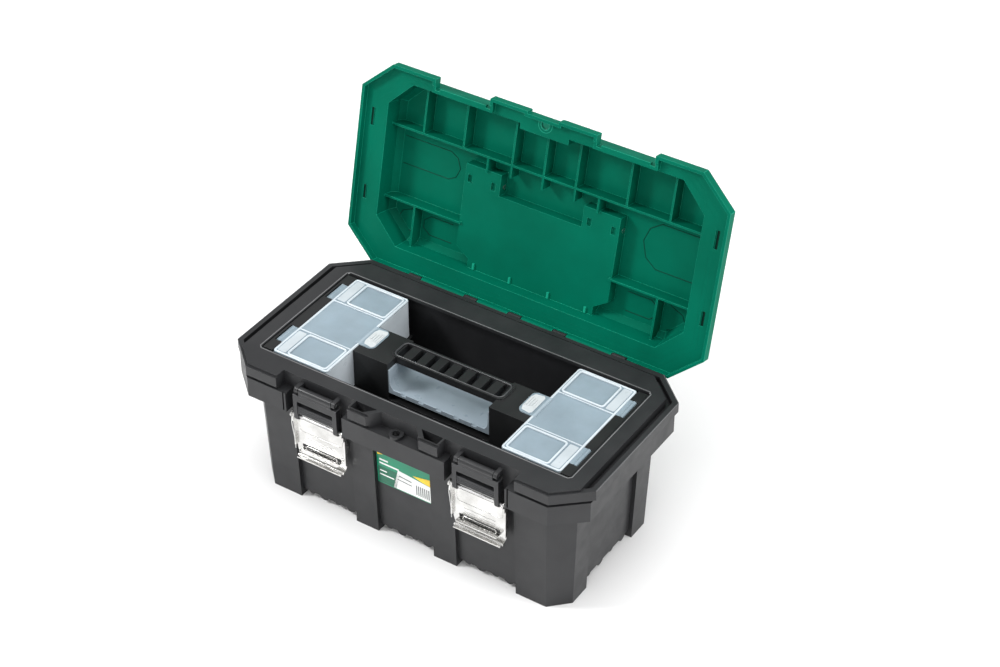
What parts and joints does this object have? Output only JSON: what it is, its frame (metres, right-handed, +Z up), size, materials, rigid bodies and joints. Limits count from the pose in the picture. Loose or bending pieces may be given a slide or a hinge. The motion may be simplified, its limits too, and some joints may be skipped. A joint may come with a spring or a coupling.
{
  "type": "toolbox with tray",
  "caption": "Black plastic toolbox with an open green hinged lid, two metal draw latches, a folding carry handle and a lift-out tray with clear lidded bins.",
  "frame": {"origin": "centre of the underside of the tub, on the ground", "axes": "+X along the length, +Y towards the lid hinge, +Z up"},
  "size_m": [0.406, 0.2816, 0.353],
  "materials": {
    "tub": "satin black polypropylene with a fine grain",
    "tray": "satin black",
    "latch_plastic": "satin black",
    "handle": "satin black",
    "lid": "satin deep green",
    "clear_bin": "frosted clear",
    "clear_lid": "clear",
    "latch_steel": "bright zinc plate",
    "pin_steel": "plain steel",
    "label": "printed gloss sticker with no lettering"
  },
  "bodies": {
    "base": {"base_shell": "tub", "front_label": "label", "hinge_rod": "pin_steel", "latch_pin_upper_left": "pin_steel", "latch_pin_upper_right": "pin_steel"},
    "latch_link_left": {"latch_link_left": "latch_plastic", "latch_pin_lower_left": "pin_steel"},
    "latch_link_right": {"latch_link_right": "latch_plastic", "latch_pin_lower_right": "pin_steel"},
    "latch_plate_left": {"latch_plate_left": "latch_steel"},
    "latch_plate_right": {"latch_plate_right": "latch_steel"},
    "lid": {"lid_shell": "lid", "handle_pin_left": "pin_steel", "handle_pin_right": "pin_steel"},
    "carry_handle": {"carry_handle": "handle"},
    "tray": {"tray_carrier": "tray", "bin_left": "clear_bin", "bin_right": "clear_bin", "centre_trough": "clear_bin"},
    "bin_lid_left": {"bin_lid_left": "clear_lid"},
    "bin_lid_right": {"bin_lid_right": "clear_lid"}
  },
  "joints": [
    {"name": "lid_hinge", "type": "hinge", "parent": "base", "child": "lid", "pos_m": [0, 0.1059, 0.1495], "axis": [-1, 0, 0], "range_deg": [-103, 0]},
    {"name": "carry_handle_pivot", "type": "hinge", "parent": "lid", "child": "carry_handle", "pos_m": [0, 0.1588, 0.25418], "axis": [1, 0, 0], "range_deg": [-13, 77]},
    {"name": "tray_lift", "type": "slide", "parent": "base", "child": "tray", "axis": [0, 0, 1], "range_m": [0, 0.14]},
    {"name": "latch_link_left_pivot", "type": "hinge", "parent": "base", "child": "latch_link_left", "pos_m": [-0.0895, -0.0945, 0.147], "axis": [-1, 0, 0], "range_deg": [0, 110]},
    {"name": "latch_plate_left_pivot", "type": "hinge", "parent": "latch_link_left", "child": "latch_plate_left", "pos_m": [-0.0895, -0.0945, 0.115], "axis": [1, 0, 0], "range_deg": [-180, 0]},
    {"name": "bin_lid_left_hinge", "type": "hinge", "parent": "tray", "child": "bin_lid_left", "pos_m": [-0.1655, 0, 0.153], "axis": [0, -1, 0], "range_deg": [0, 110]},
    {"name": "latch_link_right_pivot", "type": "hinge", "parent": "base", "child": "latch_link_right", "pos_m": [0.0895, -0.0945, 0.147], "axis": [-1, 0, 0], "range_deg": [0, 110]},
    {"name": "latch_plate_right_pivot", "type": "hinge", "parent": "latch_link_right", "child": "latch_plate_right", "pos_m": [0.0895, -0.0945, 0.115], "axis": [1, 0, 0], "range_deg": [-180, 0]},
    {"name": "bin_lid_right_hinge", "type": "hinge", "parent": "tray", "child": "bin_lid_right", "pos_m": [0.1655, 0, 0.153], "axis": [0, 1, 0], "range_deg": [0, 110]}
  ]
}
